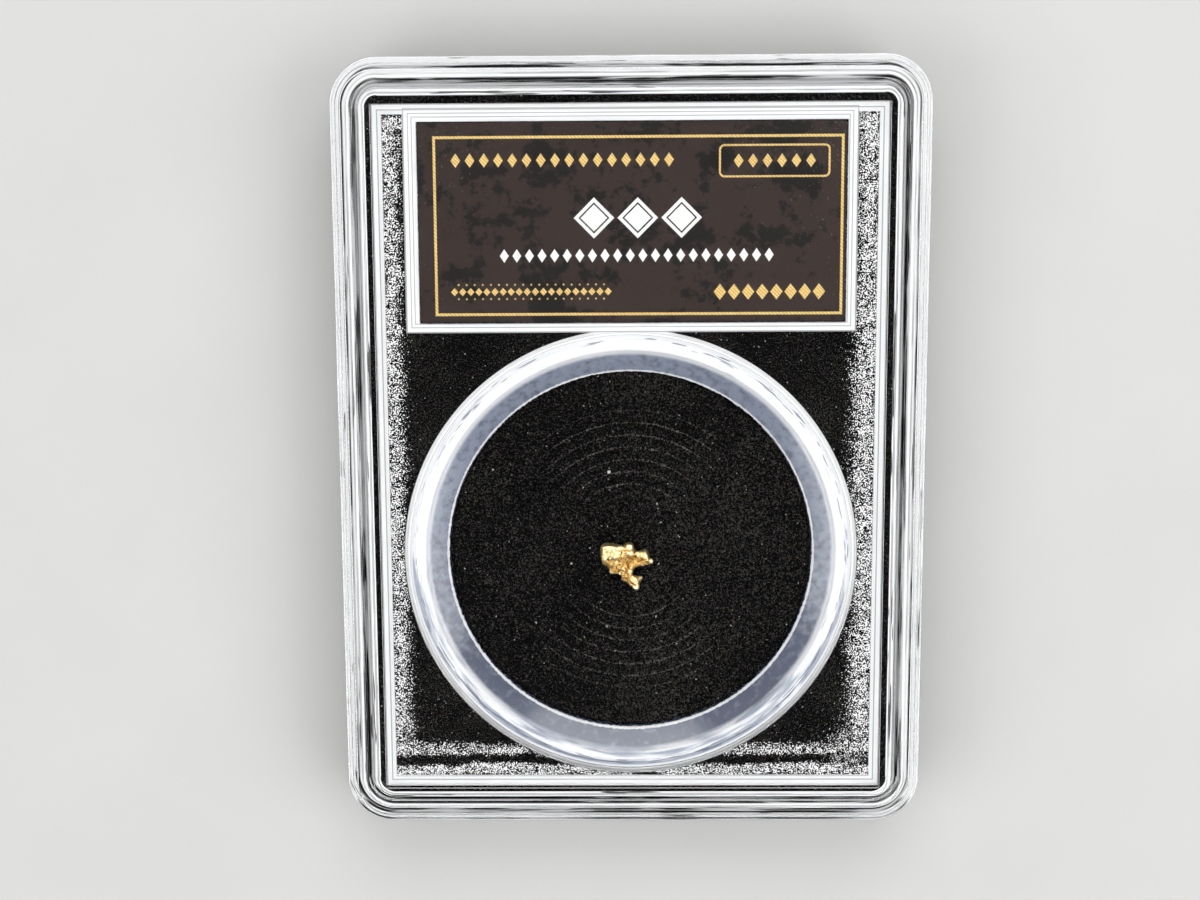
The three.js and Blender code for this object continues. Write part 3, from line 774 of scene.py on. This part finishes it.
# ridges and creases: from, to, width, rise
folds = (
    ((-0.63, 1.80), (-0.58, 0.95), 0.09, -0.06), ((0.34, 1.95), (0.36, 1.45), 0.13, 0.07),
    ((0.42, 1.50), (1.15, 1.50), 0.12, 0.08), ((-0.88, -0.08), (-0.30, -0.32), 0.10, 0.10),
    ((0.12, -0.32), (0.64, -0.78), 0.10, 0.11), ((0.45, -1.75), (0.92, -2.10), 0.07, -0.11),
    ((0.70, -1.65), (1.30, -1.62), 0.06, -0.07), ((1.45, 1.25), (1.70, 0.70), 0.09, -0.07),
    ((-2.60, 1.55), (-1.75, 1.30), 0.08, 0.06), ((-1.90, 2.25), (-1.10, 2.05), 0.08, 0.06),
    ((-1.00, 1.35), (-0.95, 0.90), 0.07, -0.07), ((-0.15, -1.05), (0.35, -1.40), 0.08, 0.07),
)


def between01(value):
    return min(1.0, max(0.0, value))


def pulled(u, v):  # how far the named features lift the skin at a place seen from above, in mm
    rise = 0.0
    warp = noise.noise_vector(Vector((u, v, 0.7)) * nugget["warpWave"]) * nugget["warp"]
    u, v = u + warp.x, v + warp.y
    for (cu, cv), radius, height, lip in spots:
        off = math.hypot(u - cu, v - cv) / radius
        if off < nugget["spotReach"]:
            fromLip = (off - nugget["lipAt"]) / nugget["lipWidth"]
            rise += height * math.exp(-off * off * nugget["spotSharpness"]) + lip * math.exp(-fromLip ** 2)
    for (au, av), (bu, bv), width, height in folds:
        du, dv = bu - au, bv - av
        along = between01(((u - au) * du + (v - av) * dv) / (du * du + dv * dv))
        off = math.hypot(u - au - along * du, v - av - along * dv) / width
        if off < nugget["spotReach"]:
            rise += height * math.exp(-off * off)
    return rise


def workSkin(bm):  # lifts and sinks the skin by waves, folds and the named features
    middle, foot = Vector(nugget["middle"]), nugget["middle"][2]
    plateauU, plateauV, reach = nugget["plateau"]
    calmest, foldFrom = nugget["calmest"], Vector(nugget["foldFrom"])
    bm.normal_update()
    for v in bm.verts:
        at = v.co / mm - middle
        fromPlateau = math.hypot(at.x - plateauU, (at.y - plateauV) * nugget["plateauSquash"])
        calm = calmest + (1 - calmest) * min(1.0, fromPlateau / reach) ** 2
        slow = noise.noise(at * nugget["slowWave"]) * nugget["slowDepth"]
        crease = nugget["foldTop"] - 2 * abs(noise.noise(at * nugget["foldWave"] + foldFrom))
        fine = noise.noise(at * nugget["fineWave"]) * nugget["fineDepth"]
        rise = nugget["fatten"] + slow + calm * (crease * nugget["foldDepth"] + fine)
        rise += pulled(at.x, at.y) * between01(v.normal.z * nugget["topSlope"] + nugget["topFrom"])
        v.co += v.normal * rise * mm
        v.co.z = max(v.co.z, foot * mm)
    smoothed(bm, nugget["lastEvening"])


def markWearAndSheen(bm, wearAndSheen):  # where the skin stands proud it is polished and painted with a highlight, and in the hollows it is dull and painted with shade
    middle = Vector(nugget["middle"])
    bm.normal_update()
    bulge = {}
    for v in bm.verts:
        around = [e.other_vert(v).co for e in v.link_edges]
        centre = sum(around, Vector()) / len(around)
        bulge[v] = (v.co - centre).dot(v.normal) / mm
    for _ in range(nugget["proudEvenings"]):
        bulge = {v: (bulge[v] + sum(bulge[e.other_vert(v)] for e in v.link_edges)) / (1 + len(v.link_edges))
                 for v in bm.verts}
    for v in bm.verts:
        at = v.co / mm - middle
        rubbedSheen = max(nugget["rubbedSheenReach"] - math.hypot(at.x - u, at.y - w) / reach
                     for (u, w), reach in brightParts)
        rubbedSheen = between01(rubbedSheen + nugget["rubbedSheenPatch"] * noise.noise(at * nugget["rubbedSheenWave"]))
        v[wearAndSheen] = between01(nugget["leastWearAndSheen"] + nugget["rubbedSheenShare"] * rubbedSheen + bulge[v] / nugget["proud"])


def goldNugget():
    noise.seed_set(nugget["seed"])  # without it the warp of the folds is another one each time
    bm = bmesh.new()
    bm.from_mesh(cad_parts["gold_nugget"].data)
    # a mark that carries both wear and painted highlight and shade
    wearAndSheen = bm.verts.layers.float.new("wearAndSheen")
    bmesh.ops.remove_doubles(bm, verts=bm.verts, dist=weldGap)
    for step, evenings in enumerate(nugget["evenings"]):  # evened coarse first, so that its edges turn round
        if step:
            bmesh.ops.subdivide_edges(bm, edges=bm.edges[:], cuts=1, use_grid_fill=True)
            bmesh.ops.triangulate(bm, faces=bm.faces[:])
        for _ in range(evenings):
            smoothed(bm, nugget["evening"])
    workSkin(bm)
    markWearAndSheen(bm, wearAndSheen)
    return newObject("gold_nugget_fine", bm, nugget["crisp"])


goldLook = {
    "bright": (1.0, 0.82, 0.44, 1), "dull": (0.70, 0.43, 0.13, 1), "hollow": (0.34, 0.17, 0.04, 1),
    "edge": (1.0, 0.72, 0.34, 1),  # the tint of its glancing reflections
    "metallic": 0.9, "roughness": 0.5, "wearSmoother": 0.24, "patchRougher": 0.06,
    "patches": 1.3, "patchShare": 0.4, "brightFrom": (0.25, 0.75), "hollowTo": (0.0, 0.2),
    "grain": 9.0, "grainStrength": 0.25, "grainDepth": 0.02,
}


def naturalGold():
    f, look = Finish(bpy.data.materials.new("naturalGold")), goldLook
    vector, *_ = f.coordinates()
    wearAndSheen = f.node("ShaderNodeAttribute", {"attribute_name": "wearAndSheen"}, None, out="Fac")
    patch = f.noise(vector, look["patches"], 3.0)
    # painted highlight with wear: the bright gold where the skin is rubbed and proud
    polishedSheen = (wearAndSheen + (patch - 0.5) * look["patchShare"]).ramp(*look["brightFrom"])
    colour = f.blend(polishedSheen, look["dull"], look["bright"])
    # dull wear and painted shade: the darkest gold in the hollows
    colour = f.blend(wearAndSheen.fade(*look["hollowTo"]), colour, look["hollow"])
    return f.end(f.principled({
        "Base Color": colour, "Metallic": look["metallic"], "Specular Tint": look["edge"],
        "Roughness": look["roughness"] - look["wearSmoother"] * wearAndSheen + look["patchRougher"] * patch,
        "Normal": f.bump(f.noise(vector, look["grain"], 2.0), look["grainStrength"], look["grainDepth"])}))


place(goldNugget(), naturalGold(), "gold_nugget")
print("nugget made")


# the floor and the light

stage = {
    "size": 3.0, "floor": (0.32, 0.32, 0.316, 1), "floorWorn": (0.295, 0.295, 0.291, 1),
    "roughness": 0.8, "patches": 0.05,
}
sky = {  # a light tent that is open above the camera, so that the window stays clear
    # the opening's middle, reach and soft edge are measured across the sky at a height of 1
    "openMiddle": (0.0, -0.15), "openReach": (0.27, 0.35), "openEdge": (0.95, 1.35),
    "dark": 0.014, "bright": 1.76, "horizon": 0.6, "horizonTo": (0.25, 0.7), "lowest": 0.05,
}
# each soft box: where it stands, its width and height, and its power
softBoxes = (
    ("labelEnd", (0.05, 0.44, 0.38), 0.55, 0.3, 2.6),
    ("rightSide", (0.42, -0.12, 0.36), 0.5, 0.3, 2.6),
    ("leftSide", (-0.44, -0.18, 0.36), 0.5, 0.3, 2.4),
)


def addFloor():
    bm = bmesh.new()
    bmesh.ops.create_grid(bm, x_segments=1, y_segments=1, size=stage["size"])
    floor = newObject("floor", bm)
    f = Finish(bpy.data.materials.new("paleFloor"))
    vector, *_ = f.coordinates()
    colour = f.blend(f.noise(vector, stage["patches"], 3.0), stage["floor"], stage["floorWorn"])
    floor.data.materials.append(f.end(f.principled({"Base Color": colour, "Roughness": stage["roughness"]})))


def addLights():
    for name, spot, width, height, power in softBoxes:
        lamp = bpy.data.lights.new(name, "AREA")
        lamp.shape, lamp.size, lamp.size_y, lamp.energy = "RECTANGLE", width, height, power
        holder = bpy.data.objects.new(name, lamp)
        holder.location = spot
        holder.rotation_euler = (-Vector(spot)).to_track_quat("-Z", "Y").to_euler()
        bpy.context.scene.collection.objects.link(holder)
    bpy.context.scene.view_settings.view_transform = "Standard"


def addSky():
    f = Finish(bpy.data.worlds.new("studio"), "ShaderNodeOutputWorld")
    x, y, z = f.parts(f.node("ShaderNodeTexCoord", out="Generated"))
    up = z.most(sky["lowest"])
    across = (x / up - sky["openMiddle"][0]) / sky["openReach"][0]
    along = (y / up - sky["openMiddle"][1]) / sky["openReach"][1]
    tent = ((across * across + along * along) ** 0.5).ramp(*sky["openEdge"])
    tent = tent * (sky["horizon"] + (1 - sky["horizon"]) * z.ramp(*sky["horizonTo"]))
    strength = sky["dark"] + (sky["bright"] - sky["dark"]) * tent
    f.end(f.node("ShaderNodeBackground", None, {"Strength": strength}))
    bpy.context.scene.world = f.owner


addFloor()
addLights()
addSky()
print("stage set")
